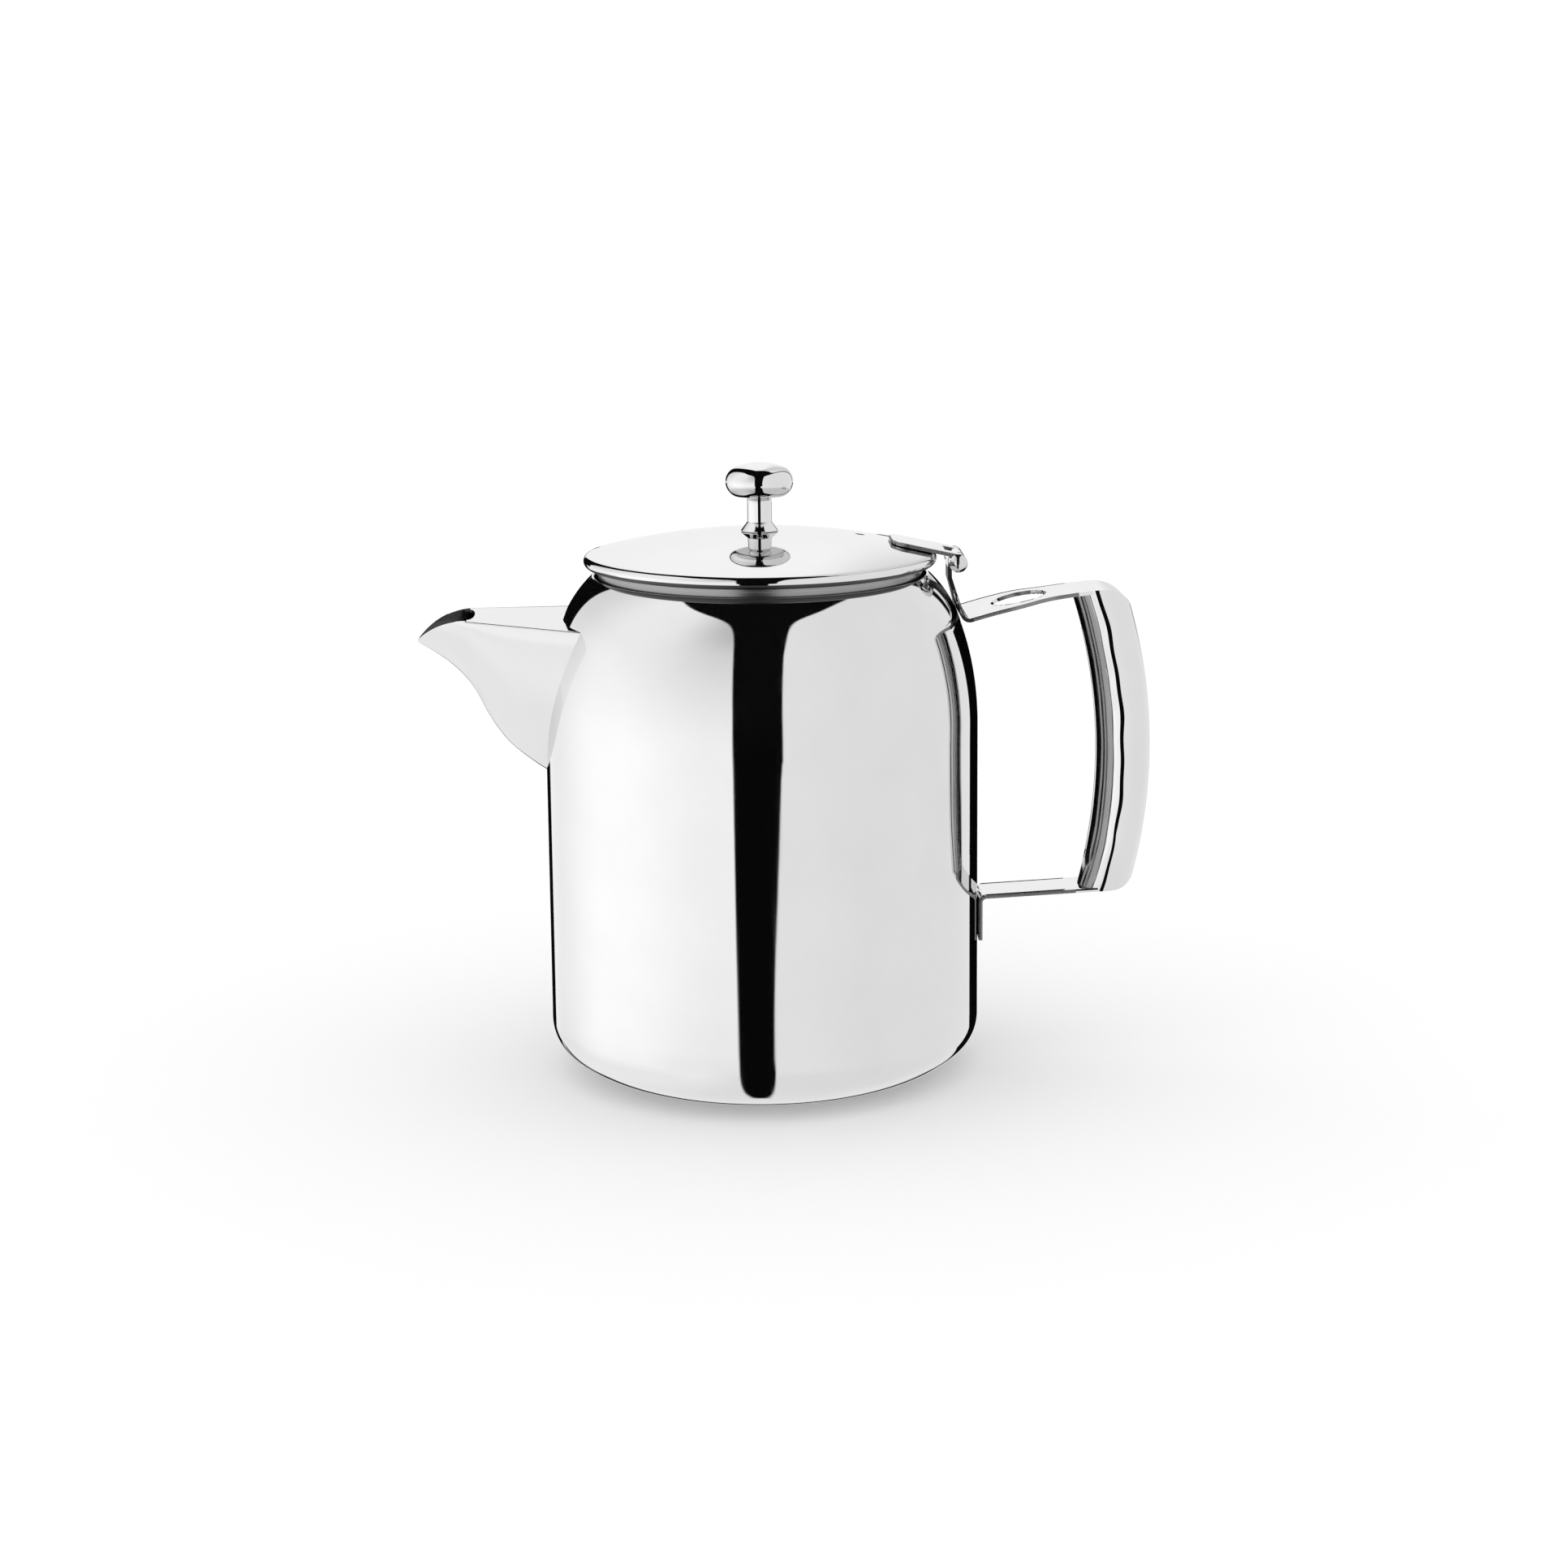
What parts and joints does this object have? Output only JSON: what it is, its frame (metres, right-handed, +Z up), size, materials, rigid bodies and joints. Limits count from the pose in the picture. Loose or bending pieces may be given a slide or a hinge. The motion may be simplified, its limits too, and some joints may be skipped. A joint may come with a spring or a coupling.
{
  "type": "coffee pot",
  "caption": "Polished steel coffee pot with a beaked spout, rolled hollow handle and hinged domed lid with a mushroom knob, for keeping and pouring hot coffee.",
  "frame": {"origin": "centre of the flat base, on the surface the pot stands on", "axes": "+Z up along the body axis, -X towards the spout, +X towards the handle, Y across"},
  "size_m": [0.1963, 0.116, 0.1648],
  "materials": {
    "polished_steel": "mirror-polished stainless steel",
    "plain_steel": "plain turned steel"
  },
  "bodies": {
    "pot": {"body_shell": "polished_steel", "spout": "polished_steel", "handle": "polished_steel"},
    "lid": {"lid_cover": "polished_steel", "lid_ring": "polished_steel", "lid_strap": "polished_steel", "hinge_pin": "polished_steel", "knob_head": "polished_steel", "knob_stem": "polished_steel", "knob_washer": "plain_steel", "knob_screw": "plain_steel"}
  },
  "joints": [
    {"name": "lid_hinge", "type": "hinge", "parent": "pot", "child": "lid", "pos_m": [0.0523, 0, 0.1382], "axis": [0, 1, 0], "range_deg": [0, 105]}
  ]
}
